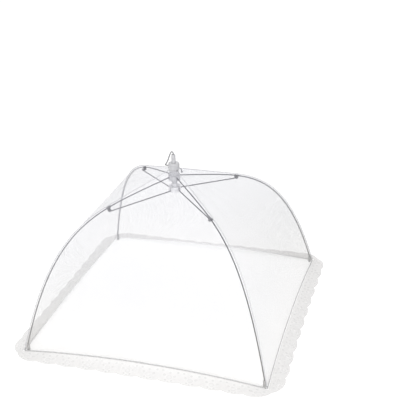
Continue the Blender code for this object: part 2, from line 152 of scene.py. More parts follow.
def math_node(tree, operation, first, second=None, clamp=False):
    """A Math node whose inputs are sockets or numbers, and its output."""
    node = tree.nodes.new("ShaderNodeMath")
    node.operation = operation
    node.use_clamp = clamp
    for slot, value in zip(node.inputs, (first, second)):
        if value is not None:
            set_input(tree, slot, value)
    return node.outputs[0]


def colour_mix(tree, factor, first, second, blend="MIX"):
    """A Mix node for two colours, and its output."""
    node = tree.nodes.new("ShaderNodeMix")
    node.data_type = "RGBA"
    node.blend_type = blend
    for name, value in (("Factor", factor), ("A", first), ("B", second)):
        set_input(tree, node.inputs[name], value)
    return node.outputs["Result"]


def add_relief(tree, shader, height, strength, depth):
    """Give a shader a fine bump from a height."""
    relief = tree.nodes.new("ShaderNodeBump")
    relief.inputs["Strength"].default_value = strength
    relief.inputs["Distance"].default_value = depth
    tree.links.new(height, relief.inputs["Height"])
    tree.links.new(relief.outputs["Normal"], shader.inputs["Normal"])


def soil_group():
    """Soft uneven colour and roughness, for anything that is dyed, drawn or moulded."""
    group = bpy.data.node_groups.new("uneven surface", "ShaderNodeTree")
    socket_of(group, "Color", "NodeSocketColor", "INPUT", (0.8, 0.8, 0.8, 1.0))
    socket_of(group, "Shade", "NodeSocketColor", "INPUT", (0.6, 0.6, 0.6, 1.0))
    socket_of(group, "Scale", "NodeSocketFloat", "INPUT", 60.0)
    socket_of(group, "Roughness", "NodeSocketFloat", "INPUT", 0.5)
    socket_of(group, "Roughness Change", "NodeSocketFloat", "INPUT", 0.1)
    socket_of(group, "Color", "NodeSocketColor", "OUTPUT")
    socket_of(group, "Roughness", "NodeSocketFloat", "OUTPUT")
    socket_of(group, "Height", "NodeSocketFloat", "OUTPUT")
    start = group.nodes.new("NodeGroupInput")
    end = group.nodes.new("NodeGroupOutput")
    place = group.nodes.new("ShaderNodeTexCoord")
    noise = group.nodes.new("ShaderNodeTexNoise")
    noise.inputs["Detail"].default_value = 4.0
    noise.inputs["Roughness"].default_value = 0.6
    group.links.new(place.outputs["Object"], noise.inputs["Vector"])
    group.links.new(start.outputs["Scale"], noise.inputs["Scale"])
    mix = colour_mix(group, noise.outputs["Fac"], start.outputs["Color"], start.outputs["Shade"])
    centred = math_node(group, "SUBTRACT", noise.outputs["Fac"], 0.5)
    change = math_node(group, "MULTIPLY", centred, start.outputs["Roughness Change"])
    total = math_node(group, "ADD", start.outputs["Roughness"], change, clamp=True)
    group.links.new(mix, end.inputs["Color"])
    group.links.new(total, end.inputs["Roughness"])
    group.links.new(noise.outputs["Fac"], end.inputs["Height"])
    return group


SOIL = soil_group()


def uneven_material(name, colour, shade, scale, roughness, change, metallic=0.0):
    """A material with the uneven surface in it, and its tree, shader and uneven node."""
    made, tree, shader = node_material(name, colour, roughness, metallic)
    soil = tree.nodes.new("ShaderNodeGroup")
    soil.node_tree = SOIL
    soil.inputs["Color"].default_value = (*colour, 1.0)
    soil.inputs["Shade"].default_value = (*shade, 1.0)
    soil.inputs["Scale"].default_value = scale
    soil.inputs["Roughness"].default_value = roughness
    soil.inputs["Roughness Change"].default_value = change
    tree.links.new(soil.outputs["Color"], shader.inputs["Base Color"])
    tree.links.new(soil.outputs["Roughness"], shader.inputs["Roughness"])
    return made, tree, shader, soil


cord_look, cord_tree, cord_shader, _ = uneven_material(
    "white cord", (0.38, 0.38, 0.385), (0.31, 0.31, 0.32), scale=300.0, roughness=0.85, change=0.1)
cord_place = cord_tree.nodes.new("ShaderNodeTexCoord")
cord_strands = cord_tree.nodes.new("ShaderNodeTexWave")
cord_strands.bands_direction = "DIAGONAL"
cord_strands.inputs["Scale"].default_value = 1.0 / STRAND_PITCH
cord_tree.links.new(cord_place.outputs["Object"], cord_strands.inputs["Vector"])
add_relief(cord_tree, cord_shader, cord_strands.outputs["Fac"], strength=0.15, depth=STRAND_DEPTH)


def wire_piece(name, points, radius, look):
    """A round wire or cord along points, as a curve with closed ends."""
    data = bpy.data.curves.new(name, "CURVE")
    data.dimensions = "3D"
    data.bevel_depth = radius
    data.bevel_resolution = WIRE_ROUNDING
    data.use_fill_caps = True
    spline = data.splines.new("POLY")
    spline.points.add(len(points) - 1)
    for point, target in zip(spline.points, points):
        point.co = (*target, 1.0)
    spline.use_smooth = True
    data.materials.append(look)
    return add_object(name, data)


def smooth_route(points, steps):
    """Points of a smooth curve through the given ones, which stay on it."""
    ends = [points[0], *points, points[-1]]
    route = []
    for a, b, c, d in zip(ends, ends[1:], ends[2:], ends[3:]):
        a, b, c, d = Vector(a), Vector(b), Vector(c), Vector(d)
        for i in range(steps):
            t = i / steps
            route.append(0.5 * (2 * b + (c - a) * t + (2 * a - 5 * b + 4 * c - d) * t ** 2
                                + (3 * b - a - 3 * c + d) * t ** 3))
    route.append(Vector(points[-1]))
    return route


cord_points = smooth_route(CORD_ROUTE, CORD_STEPS)
free_cord = wire_piece("pull_cord", cord_points, CORD_R, cord_look)
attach(free_cord, "canopy_root")
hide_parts("cord_free")

# Knot at the cord's free end
# The cord is tied in an overhand knot, so that it can't slip back through the tip.
# The knot is the cord itself, drawn tight, so its strand is about the cord's own thickness.
KNOT_R = 0.0026
KNOT_STRAND_SHARE = 0.42
KNOT_STEPS = 72
TREFOIL_REACH = 3.0
TREFOIL_RISE = 1.3
cord_way = (Vector(CORD_ROUTE[-1]) - Vector(CORD_ROUTE[-2])).normalized()


def centre_of(node):
    """The middle of a node's box."""
    low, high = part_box(node)
    return (low + high) / 2


def select_only(thing):
    """Make one object the only selected one, and the active one."""
    bpy.ops.object.select_all(action="DESELECT")
    thing.select_set(True)
    bpy.context.view_layer.objects.active = thing


def to_mesh(thing):
    """Turn a curve object into a mesh object with the same name and place."""
    select_only(thing)
    bpy.ops.object.convert(target="MESH")
    return thing


def knot_piece(name, centre, way):
    """A small overhand knot: one trefoil loop of the cord, drawn tight round its centre."""
    strand = KNOT_R * KNOT_STRAND_SHARE
    facing = way.to_track_quat("Z", "Y").to_matrix()
    points = []
    for k in range(KNOT_STEPS + 1):
        a = math.tau * k / KNOT_STEPS
        ring = Vector((math.sin(a) + 2 * math.sin(2 * a), math.cos(a) - 2 * math.cos(2 * a),
                       -TREFOIL_RISE * math.sin(3 * a)))
        points.append(centre + facing @ (ring * (KNOT_R - strand) / TREFOIL_REACH))
    return to_mesh(wire_piece(name, points, strand, cord_look))


end_knot = knot_piece("pull_cord_knot", centre_of("cord_knot_end"), cord_way)
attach(end_knot, "canopy_root")
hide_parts("cord_knot_end")

# Crown, knob, tip and runner
# White moulded plastic: the hub body with its slotted flange, the knob that clamps the net,
# the tip that guides the cord, and the runner that slides under them.
PLASTIC_COAT = 0.15
PLASTIC_DEPTH = 0.0002


def plastic_material(name, colour, shade):
    """Moulded plastic with flow marks and a thin gloss."""
    made, tree, shader, soil = uneven_material(name, colour, shade, scale=90.0, roughness=0.35, change=0.15)
    add_relief(tree, shader, soil.outputs["Height"], strength=0.15, depth=PLASTIC_DEPTH)
    shader.inputs["Coat Weight"].default_value = PLASTIC_COAT
    return made


crown_look = plastic_material("moulded white plastic", (0.56, 0.56, 0.57), (0.46, 0.46, 0.48))
# The runner gets a lighter copy of the same plastic: painted light, where it sits in the crown's shade
# behind the net.
runner_painted_light_look = plastic_material("moulded white plastic, painted lighter", (0.84, 0.84, 0.85), (0.76, 0.76, 0.78))
for node in ("crown_hub", "crown_knob", "crown_tip"):
    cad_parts[node].material_slots[0].material = crown_look
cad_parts["runner"].material_slots[0].material = runner_painted_light_look

# Both tones are painted: painted reflection at the back left and painted shade at the front right, put into
# the steel's colour.
# Wire and pins
# Spring steel wire of 2 mm, bright at the back left and dark at the front right as in the photograph.
# The pins are the same steel, pressed through the slots of the crown and the runner.
STEEL_DEPTH = 0.00005
PAINTED_REFLECTION_AT = -0.16
PAINTED_SHADE_AT = 0.12
PAINTED_SHADE_TONE = 0.01


def ranged(tree, value, start, end, low=0.0, high=1.0, smooth=False):
    """A number that goes from low to high while a value goes from start to end."""
    node = tree.nodes.new("ShaderNodeMapRange")
    node.interpolation_type = "SMOOTHSTEP" if smooth else "LINEAR"
    for name, number in (("From Min", start), ("From Max", end), ("To Min", low), ("To Max", high)):
        node.inputs[name].default_value = number
    tree.links.new(value, node.inputs["Value"])
    return node.outputs["Result"]


def painted_light_share(tree, start, end):
    """Mask for painted light and shade: from 0 at the back left to 1 at the front right, between two places
    on that diagonal.
    """
    place = tree.nodes.new("ShaderNodeTexCoord")
    along = tree.nodes.new("ShaderNodeVectorMath")
    along.operation = "DOT_PRODUCT"
    along.inputs[1].default_value = (math.sqrt(0.5), -math.sqrt(0.5), 0.0)
    tree.links.new(place.outputs["Object"], along.inputs[0])
    return ranged(tree, along.outputs["Value"], start, end, smooth=True)


painted_light_steel_look, steel_tree, steel_shader, steel_soil = uneven_material(
    "drawn spring steel, painted reflection and shade", (0.44, 0.44, 0.45), (0.32, 0.32, 0.33), scale=220.0, roughness=0.32, change=0.25,
    metallic=1.0)
add_relief(steel_tree, steel_shader, steel_soil.outputs["Height"], strength=0.2, depth=STEEL_DEPTH)
# Painted shade: the steel's colour is multiplied darker towards the front right corner, nearly to black.
steel_painted_light_share = painted_light_share(steel_tree, PAINTED_REFLECTION_AT, PAINTED_SHADE_AT)
steel_painted_shade = ranged(steel_tree, steel_painted_light_share, 0.0, 1.0, low=1.0, high=PAINTED_SHADE_TONE)
steel_painted_colour = colour_mix(steel_tree, 1.0, steel_soil.outputs["Color"], steel_painted_shade, blend="MULTIPLY")
steel_tree.links.new(steel_painted_colour, steel_shader.inputs["Base Color"])
for part in ("crown_pin", "runner_pin", "strut_rivet"):
    for k in range(1, 5):
        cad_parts[f"{part}_{k}"].material_slots[0].material = painted_light_steel_look

# Ribs
# Each rib is one length of the spring wire, bent to an eye round its pin in the crown.
# It is bowed by the net's tension, flat on top and steep at the foot.
WIRE_R = 0.0010
PIN_R = 0.0008
GAP = 0.0003
EYE_R = PIN_R + GAP + WIRE_R
EYE_TURN = math.radians(250.0)
EYE_STEPS = 24
HINGE_R = 0.0075
HINGE_Z = 0.2610
RIB_TOP_Z = HINGE_Z + EYE_R
RIB_FOOT_R = 0.3035
RIB_SLOPE_SHARE = 0.24
RIB_POWER = 4.5
RIB_END_Z = 0.0126
RIB_STEPS = 72
PROFILE_STEPS = 800
HALVINGS = 60
ARM_ANGLES = [math.radians(-45.0 + 90.0 * k) for k in range(4)]


def sprung_height(r, top_z, foot_r):
    """Height of a sprung arc at distance r from the axis: flat at the top, steep at its foot."""
    u = (r - HINGE_R) / (foot_r - HINGE_R)
    return top_z * (1 - RIB_SLOPE_SHARE * u - (1 - RIB_SLOPE_SHARE) * u ** RIB_POWER)


def rib_height(r):
    """Height of a rib's middle line."""
    return sprung_height(r, RIB_TOP_Z, RIB_FOOT_R)


def radius_at(height_of, height, low_r, high_r):
    """Distance from the axis where a falling profile reaches the given height."""
    for _ in range(HALVINGS):
        middle = (low_r + high_r) / 2
        if height_of(middle) > height:
            low_r = middle
        else:
            high_r = middle
    return (low_r + high_r) / 2


def even_stations(height_of, start_r, end_r, count):
    """Radii that cut a profile into stretches of the same length."""
    radii = [start_r + (end_r - start_r) * i / PROFILE_STEPS for i in range(PROFILE_STEPS + 1)]
    lengths = [0.0]
    for before, after in zip(radii, radii[1:]):
        lengths.append(lengths[-1] + math.hypot(after - before, height_of(after) - height_of(before)))
    stations = []
    index = 0
    for k in range(count + 1):
        target = lengths[-1] * k / count
        while index < PROFILE_STEPS and lengths[index] < target:
            index += 1
        stations.append(radii[index])
    return stations


def eye(centre_r, centre_z, start, end):
    """Points round a pin, as (distance from the axis, height)."""
    angles = [start + (end - start) * k / EYE_STEPS for k in range(EYE_STEPS + 1)]
    return [(centre_r + EYE_R * math.cos(a), centre_z + EYE_R * math.sin(a)) for a in angles]


def at_angle(angle, r, sideways, z):
    """A point from its distance, sideways place and height in the frame of one arm or side."""
    return Vector((r * math.cos(angle) - sideways * math.sin(angle),
                   r * math.sin(angle) + sideways * math.cos(angle), z))


rib_end_r = radius_at(rib_height, RIB_END_Z, HINGE_R, RIB_FOOT_R)
rib_line = eye(HINGE_R, HINGE_Z, math.pi / 2 + EYE_TURN, math.pi / 2)
rib_line += [(r, rib_height(r)) for r in even_stations(rib_height, HINGE_R, rib_end_r, RIB_STEPS)[1:]]
for k, angle in enumerate(ARM_ANGLES, 1):
    points = [at_angle(angle, r, 0.0, z) for r, z in rib_line]
    rib = to_mesh(wire_piece(f"rib_wire_{k}", points, WIRE_R, painted_light_steel_look))
    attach(rib, f"rib_arm_{k}")
    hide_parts(f"rib_{k}")

# Struts
# Each strut is a straight piece of the same wire with an eye at both ends.
# One eye turns on a pin of the runner, the other on a rivet beside the rib's clip.
STRUT_LAYER = 0.0033
STRUT_INNER_Z = 0.2395
CLIP_R = 0.1280
CLIP_DROP = 0.0042
strut_outer_z = rib_height(CLIP_R) - CLIP_DROP
strut_under = math.atan2(strut_outer_z - STRUT_INNER_Z, CLIP_R - HINGE_R) - math.pi / 2
strut_line = eye(HINGE_R, STRUT_INNER_Z, strut_under - EYE_TURN, strut_under)
strut_line += eye(CLIP_R, strut_outer_z, strut_under, strut_under + EYE_TURN)
for k, angle in enumerate(ARM_ANGLES, 1):
    points = [at_angle(angle, r, STRUT_LAYER, z) for r, z in strut_line]
    strut = to_mesh(wire_piece(f"strut_wire_{k}", points, WIRE_R, painted_light_steel_look))
    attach(strut, f"strut_arm_{k}")
    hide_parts(f"strut_{k}")

# Rib clips
# A blackened steel sleeve is crimped on each rib, with an ear at its side.
# The strut's outer eye is riveted to the ear.
CLIP_DEPTH = 0.0001
clip_look, clip_tree, clip_shader, clip_soil = uneven_material(
    "blackened steel", (0.17, 0.17, 0.175), (0.10, 0.10, 0.10), scale=260.0, roughness=0.45, change=0.3,
    metallic=0.6)
add_relief(clip_tree, clip_shader, clip_soil.outputs["Height"], strength=0.3, depth=CLIP_DEPTH)
for k in range(1, 5):
    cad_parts[f"rib_clip_{k}"].material_slots[0].material = clip_look

# Foot caps
# A pale grey plastic cap is pushed on each rib's end.
# It keeps the wire from scratching the table.
FOOT_R = 0.0026
FOOT_H = 0.0120
FOOT_SIDES = 32
FOOT_ROUND_SHARE = 0.28
FOOT_ROUND_STEPS = 3
FOOT_EDGE_ANGLE = math.radians(40.0)
FOOT_SMOOTH_ANGLE = math.radians(50.0)
FOOT_DEPTH = 0.0001
foot_look, foot_tree, foot_shader, foot_soil = uneven_material(
    "grey foot plastic", (0.44, 0.44, 0.44), (0.34, 0.34, 0.345), scale=150.0, roughness=0.5, change=0.15)
add_relief(foot_tree, foot_shader, foot_soil.outputs["Height"], strength=0.2, depth=FOOT_DEPTH)


def apply_all(thing):
    """Apply every modifier of one object."""
    select_only(thing)
    for modifier in list(thing.modifiers):
        bpy.ops.object.modifier_apply(modifier=modifier.name)
    return thing


for k, angle in enumerate(ARM_ANGLES, 1):
    bpy.ops.object.select_all(action="DESELECT")
    centre = at_angle(angle, rib_end_r, 0.0, FOOT_H / 2)
    bpy.ops.mesh.primitive_cylinder_add(vertices=FOOT_SIDES, radius=FOOT_R, depth=FOOT_H, location=centre)
    foot = bpy.context.object
    foot.name = f"foot_cap_{k}"
    bevel = foot.modifiers.new("rounded ends", "BEVEL")
    bevel.width = FOOT_R * FOOT_ROUND_SHARE
    bevel.segments = FOOT_ROUND_STEPS
    bevel.angle_limit = FOOT_EDGE_ANGLE
    apply_all(foot)
    bpy.ops.object.transform_apply(location=True, rotation=True, scale=True)
    bpy.ops.object.shade_smooth_by_angle(angle=FOOT_SMOOTH_ANGLE)
    foot.data.materials.append(foot_look)
    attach(foot, f"rib_arm_{k}")
    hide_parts(f"rib_foot_{k}")

# Pull cord, inner stretch
# Inside the crown the cord runs from the knot under the runner up to the tip.
# It is drawn tight while the cover is open and follows the runner down when it folds.
INNER_STEPS = 24
inner_low, inner_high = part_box("cord_inner")
inner_rise = inner_high.z - inner_low.z
inner_points = [(0.0, 0.0, inner_low.z + inner_rise * k / INNER_STEPS) for k in range(INNER_STEPS + 1)]
inner_cord = to_mesh(wire_piece("pull_cord_inner", inner_points, CORD_R, cord_look))
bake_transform(inner_cord, "canopy_root", "runner_body",
         start=(0.0, 0.0, inner_high.z), end=(0.0, 0.0, inner_low.z))
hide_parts("cord_inner")
runner_knot = knot_piece("pull_cord_lower_knot", centre_of("cord_knot_runner"), Vector((0.0, 0.0, 1.0)))
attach(runner_knot, "runner_body")
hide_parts("cord_knot_runner")

# Net panels
# Four panels of fine white polyester net, cut with bowed edges and sewn along the ribs.
# The frame holds them stretched. Each half panel goes with the rib at its corner when that folds.
SLEEVE_R = 0.0020
TAPE_HALF_W = 0.0012
CANOPY_UP = SLEEVE_R + 2 * GAP + TAPE_HALF_W
CANOPY_CORNER_R = RIB_FOOT_R + FOOT_R + GAP + TAPE_HALF_W
CANOPY_C = CANOPY_CORNER_R / math.sqrt(2)
STRAIGHT_R = 0.1240
CROWN_BODY_R = 0.0085
HEM_RAISE = 0.0100
HEM_BOW = 0.0030
RAISE_POWER = 6.0
BOW_POWER = 2.5
NET_BOTTOM_Z = 0.0032
NET_ROWS = 64
NET_COLUMNS = 32
FOLD_DEPTH = 0.0009
FOLD_LEAN_SHARE = 0.4
FOLDS_A_HALF = 5
FOLD_GROWTH = 8
SEAM_DRIFTS = (0.0024, 0.0, 0.0, 0.0)
DRIFT_POWER = 0.8
AXIS_MARGIN = 0.002
SIDE_ANGLES = [math.radians(-90.0 + 90.0 * k) for k in range(4)]


def canopy_height(r):
    """Height of the net over a rib: on the rib's bow, and straight from there to the crown."""
    top_z = RIB_TOP_Z + CANOPY_UP
    if r > STRAIGHT_R:
        return sprung_height(r, top_z, CANOPY_CORNER_R)
    bow_z = sprung_height(STRAIGHT_R, top_z, CANOPY_CORNER_R)
    slope = (bow_z - sprung_height(STRAIGHT_R - GAP, top_z, CANOPY_CORNER_R)) / GAP
    return bow_z + slope * (r - STRAIGHT_R)


def net_group():
    """Fine knitted net: threads round square cells that stand on their corners."""
    group = bpy.data.node_groups.new("knitted net", "ShaderNodeTree")
    socket_of(group, "Cell", "NodeSocketFloat", "INPUT", 0.0015)
    socket_of(group, "Thread", "NodeSocketFloat", "INPUT", 0.2)
    socket_of(group, "Hole Alpha", "NodeSocketFloat", "INPUT", 0.1)
    socket_of(group, "Thread Alpha", "NodeSocketFloat", "INPUT", 0.9)
    socket_of(group, "Alpha", "NodeSocketFloat", "OUTPUT")
    start = group.nodes.new("NodeGroupInput")
    end = group.nodes.new("NodeGroupOutput")
    place = group.nodes.new("ShaderNodeTexCoord")
    per_cell = math_node(group, "DIVIDE", 1.0, start.outputs["Cell"])
    turned = group.nodes.new("ShaderNodeMapping")
    turned.inputs["Rotation"].default_value = (0.0, 0.0, math.radians(45.0))
    group.links.new(place.outputs["UV"], turned.inputs["Vector"])
    cells = group.nodes.new("ShaderNodeTexVoronoi")
    cells.feature = "DISTANCE_TO_EDGE"
    cells.voronoi_dimensions = "2D"
    cells.inputs["Randomness"].default_value = 0.12
    group.links.new(turned.outputs["Vector"], cells.inputs["Vector"])
    group.links.new(per_cell, cells.inputs["Scale"])
    thread = math_node(group, "LESS_THAN", cells.outputs["Distance"], start.outputs["Thread"])
    span = math_node(group, "SUBTRACT", start.outputs["Thread Alpha"], start.outputs["Hole Alpha"])
    scaled = math_node(group, "MULTIPLY", thread, span)
    alpha = math_node(group, "ADD", scaled, start.outputs["Hole Alpha"], clamp=True)
    group.links.new(alpha, end.inputs["Alpha"])
    return group


NET = net_group()
NET_PAINTED_TOP = (0.68, 0.68, 0.745)
NET_PAINTED_MIDDLE = (0.62, 0.62, 0.635)
NET_PAINTED_BOTTOM = (0.72, 0.70, 0.68)
NET_PAINTED_BOTTOM_SHARE = 0.05
NET_PAINTED_MIDDLE_SHARE = 0.45
NET_UNEVEN_SHARE = 0.15
NET_OPENING_Z = 0.150
NET_OPEN_Z = 0.225
NET_OPEN_DENSITY = 0.95
NET_VALUES = {"Cell": 0.0015, "Thread": 0.12, "Hole Alpha": 0.17, "Thread Alpha": 0.40}
net_painted_light_look, net_tree, net_shader, net_soil = uneven_material(
    "white polyester net, painted light by height", NET_PAINTED_MIDDLE, NET_PAINTED_MIDDLE, scale=14.0, roughness=0.8, change=0.1)
net_place = net_tree.nodes.new("ShaderNodeTexCoord")
net_axes = net_tree.nodes.new("ShaderNodeSeparateXYZ")
net_tree.links.new(net_place.outputs["Object"], net_axes.inputs["Vector"])
net_rise = math_node(net_tree, "DIVIDE", net_axes.outputs["Z"], HINGE_Z, clamp=True)
# Painted light and shade by height: the net's colour runs from warm at the foot through grey to bluish at
# the top.
net_painted_light_ramp = net_tree.nodes.new("ShaderNodeValToRGB")
net_painted_light_ramp.color_ramp.elements[0].color = (*NET_PAINTED_BOTTOM, 1.0)
net_painted_light_ramp.color_ramp.elements[0].position = NET_PAINTED_BOTTOM_SHARE
net_painted_light_ramp.color_ramp.elements[1].color = (*NET_PAINTED_TOP, 1.0)
net_painted_light_ramp.color_ramp.elements.new(NET_PAINTED_MIDDLE_SHARE).color = (*NET_PAINTED_MIDDLE, 1.0)
net_tree.links.new(net_rise, net_painted_light_ramp.inputs["Fac"])
net_painted_colour = colour_mix(net_tree, NET_UNEVEN_SHARE, net_painted_light_ramp.outputs["Color"], net_soil.outputs["Height"],
                        blend="MULTIPLY")
net_tree.links.new(net_painted_colour, net_shader.inputs["Base Color"])
net_node = net_tree.nodes.new("ShaderNodeGroup")
net_node.node_tree = NET
for name, value in NET_VALUES.items():
    net_node.inputs[name].default_value = value
net_density = ranged(net_tree, net_axes.outputs["Z"], NET_OPENING_Z, NET_OPEN_Z,
                     low=1.0, high=NET_OPEN_DENSITY, smooth=True)
net_alpha = math_node(net_tree, "MULTIPLY", net_node.outputs["Alpha"], net_density, clamp=True)
net_tree.links.new(net_alpha, net_shader.inputs["Alpha"])


def seam_drift(arm, down):
    """How far a seam lies beside its rib, a share of the way down: it has slid off where it can."""
    return SEAM_DRIFTS[arm - 1] * math.sin(math.pi * min(1.0, max(0.0, down)) ** DRIFT_POWER)


def side_point(r, down, share, arm):
    """A point of a side's net: at a rib radius, a share of the way down and across."""
    c = r / math.sqrt(2)
    drift = seam_drift(arm, down) * share ** 2 / math.sqrt(2)
    slack = 1 - share ** 2
    x = c - HEM_BOW * slack * down ** BOW_POWER
    z = canopy_height(r) + HEM_RAISE * slack * down ** RAISE_POWER
    edge = c - TAPE_HALF_W / math.sqrt(2)
    fade = (1 - down) ** 2 * min(1.0, FOLD_GROWTH * down)
    folds = FOLD_DEPTH * math.sin(FOLDS_A_HALF * math.pi * abs(share)) * fade
    return (x - FOLD_LEAN_SHARE * folds - drift * math.copysign(1, share),
            edge * share + drift, z - folds)


def grid_piece(name, grid, uvs, look):
    """A sheet from rows of points, with its own UV map."""
    columns = len(grid[0])
    points = [p for row in grid for p in row]
    faces = []
    for i in range(len(grid) - 1):
        for j in range(columns - 1):
            a = i * columns + j
            faces.append((a, a + columns, a + columns + 1, a + 1))
    data = bpy.data.meshes.new(name)
    data.from_pydata(points, [], faces)
    layer = data.uv_layers.new(name="cloth")
    flat = [uv for row in uvs for uv in row]
    for loop in data.loops:
        layer.data[loop.index].uv = flat[loop.vertex_index]
    for face in data.polygons:
        face.use_smooth = True
    data.materials.append(look)
    return add_object(name, data)


def share_across(point, angle):
    """How far across its side a point lies, from 0 in the middle to 1 at the rib."""
    outward = point.x * math.cos(angle) + point.y * math.sin(angle)
    sideways = -point.x * math.sin(angle) + point.y * math.cos(angle)
    return min(1.0, abs(sideways) / max(AXIS_MARGIN, abs(outward)))


def folds_with_rib(piece, side, arm):
    """The piece stays with the crown at its side's middle and goes with the rib at its corner."""
    angle = SIDE_ANGLES[side - 1]
    middle = at_angle(angle, CANOPY_C, 0.0, 0.0)
    corner = at_angle(ARM_ANGLES[arm - 1], CANOPY_CORNER_R, 0.0, 0.0)
    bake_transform(piece, "canopy_root", f"rib_arm_{arm}", start=middle, end=corner)
    weights = piece.data.attributes["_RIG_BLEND"]
    for vertex, weight in zip(piece.data.vertices, weights.data):
        share = share_across(vertex.co, angle)
        weight.value = share * share * (3 - 2 * share)


def halves():
    """Each side's two halves: the side, its angle, the half's name and the arm it goes with."""
    for side, angle in enumerate(SIDE_ANGLES, 1):
        yield side, angle, "left", (side - 2) % 4 + 1
        yield side, angle, "right", side


def half_shares(half, steps):
    """Places across one half of a side, from -1 at its left corner to 1 at its right one."""
    start = -1 if half == "left" else 0
    return [start + j / steps for j in range(steps + 1)]


net_bottom_r = radius_at(canopy_height, NET_BOTTOM_Z, CROWN_BODY_R, CANOPY_CORNER_R)
net_stations = even_stations(canopy_height, (CROWN_BODY_R + GAP) * math.sqrt(2), net_bottom_r, NET_ROWS)
profile_length = [0.0]
for before, after in zip(net_stations, net_stations[1:]):
    step = math.hypot((after - before) / math.sqrt(2), canopy_height(after) - canopy_height(before))
    profile_length.append(profile_length[-1] + step)
for side, angle, half, arm in halves():
    grid = []
    uvs = []
    for i, (r, length) in enumerate(zip(net_stations, profile_length)):
        row = [side_point(r, i / NET_ROWS, share, arm) for share in half_shares(half, NET_COLUMNS)]
        grid.append([at_angle(angle, x, y, z) for x, y, z in row])
        uvs.append([(y, length) for x, y, z in row])
    net = grid_piece(f"net_{side}_{half}", grid, uvs, net_painted_light_look)
    folds_with_rib(net, side, arm)
    if half == "left":
        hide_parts(f"net_panel_{side}")

# Tapes over the ribs
# A narrow woven polyester tape is folded over each seam of the net and stitched through it.
# It keeps the cut edges from fraying and lies along the rib.
SEAM_HALF_W = 0.0007
SEAM_THICKNESS = 0.0009
SEAM_START_R = 0.0103
SEAM_BOTTOM_Z = 0.0030
SEAM_HELD_R = 0.012
SEAM_STEPS = 72
SEAM_ALPHA = 0.55
TAPE_PLACES = (-1.0, -0.5, 0.0, 0.5, 1.0)
TAPE_DEPTH = 0.0002


def tape_material(name, colour, shade, alpha):
    """Woven polyester tape, a little see-through, and its tree, shader and uneven node."""
    made, tree, shader, soil = uneven_material(name, colour, shade, scale=400.0, roughness=0.8, change=0.1)
    add_relief(tree, shader, soil.outputs["Height"], strength=0.4, depth=TAPE_DEPTH)
    shader.inputs["Alpha"].default_value = alpha
    return made, tree, shader, soil


def flat_tape(name, middles, across, half_width, thickness, look):
    """A tape of two layers along a middle line, with its width in the direction of across."""
    grid = []
    uvs = []
    length = 0.0
    for i, middle in enumerate(middles):
        if i:
            length += (middle - middles[i - 1]).length
        grid.append([middle + across * half_width * place for place in TAPE_PLACES])
        uvs.append([(half_width * place, length) for place in TAPE_PLACES])
    made = grid_piece(name, grid, uvs, look)
    thick = made.modifiers.new("two layers", "SOLIDIFY")
    thick.thickness = thickness
    thick.offset = 0.0
    return apply_all(made)


seam_look, *_ = tape_material("white seam tape", (0.72, 0.72, 0.74), (0.62, 0.62, 0.65), SEAM_ALPHA)
seam_bottom_r = radius_at(canopy_height, SEAM_BOTTOM_Z, SEAM_START_R, CANOPY_CORNER_R)
seam_stations = even_stations(canopy_height, SEAM_START_R, seam_bottom_r, SEAM_STEPS)
for k, angle in enumerate(ARM_ANGLES, 1):
    middles = [at_angle(angle, r, seam_drift(k, i / SEAM_STEPS), canopy_height(r))
               for i, r in enumerate(seam_stations)]
    sideways = Vector((-math.sin(angle), math.cos(angle), 0.0))
    tape = flat_tape(f"rib_seam_{k}", middles, sideways, SEAM_HALF_W, SEAM_THICKNESS, seam_look)
    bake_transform(tape, "canopy_root", f"rib_arm_{k}", start=at_angle(angle, 0.0, 0.0, 0.0),
             end=at_angle(angle, SEAM_HELD_R, 0.0, 0.0))
    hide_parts(f"rib_tape_{k}")

# Hem tapes
# The net's lower edge is bound in the same tape, which also holds the lace.
# As in the photograph, it shows whiter and thinner towards the back left corner, and so does the lace.
# This whiter, thinner look of the hem and the lace is painted light in their materials.
HEM_Z = GAP + TAPE_HALF_W
HEM_HALF = CANOPY_C - TAPE_HALF_W - GAP
HEM_THICKNESS = 0.0012
HEM_STEPS = 48
HEM_ALPHA = 0.6
HEM_PAINTED_LIGHT = (0.86, 0.86, 0.855)
HEM_PAINTED_THIN_SHARE = 0.6
PAINTED_LIGHT_AT = -0.12
PAINTED_LIGHT_GONE_AT = 0.02


def painted_light_at_back(tree, shader, soil, alpha, painted_white, painted_thin_share):
    """Painted light on a trim: make it whiter and thinner towards the back left corner."""
    share = painted_light_share(tree, PAINTED_LIGHT_AT, PAINTED_LIGHT_GONE_AT)
    thinner = math_node(tree, "MULTIPLY", alpha, ranged(tree, share, 0.0, 1.0, low=painted_thin_share))
    tree.links.new(thinner, shader.inputs["Alpha"])
    tone = colour_mix(tree, share, (*painted_white, 1.0), soil.outputs["Color"])
    tree.links.new(tone, shader.inputs["Base Color"])


hem_painted_light_look, hem_tree, hem_shader, hem_soil = tape_material(
    "white hem tape, painted light", (0.66, 0.66, 0.655), (0.56, 0.56, 0.56), HEM_ALPHA)
painted_light_at_back(hem_tree, hem_shader, hem_soil, HEM_ALPHA, HEM_PAINTED_LIGHT, HEM_PAINTED_THIN_SHARE)
for side, angle, half, arm in halves():
    middles = []
    for share in half_shares(half, HEM_STEPS):
        slack = 1 - share ** 2
        middles.append(at_angle(angle, CANOPY_C - HEM_BOW * slack, HEM_HALF * share,
                                HEM_Z + HEM_RAISE * slack))
    hem = flat_tape(f"hem_{side}_{half}", middles, Vector((0.0, 0.0, 1.0)), TAPE_HALF_W, HEM_THICKNESS,
                    hem_painted_light_look)
    folds_with_rib(hem, side, arm)
    if half == "left":
        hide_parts(f"hem_tape_{side}")

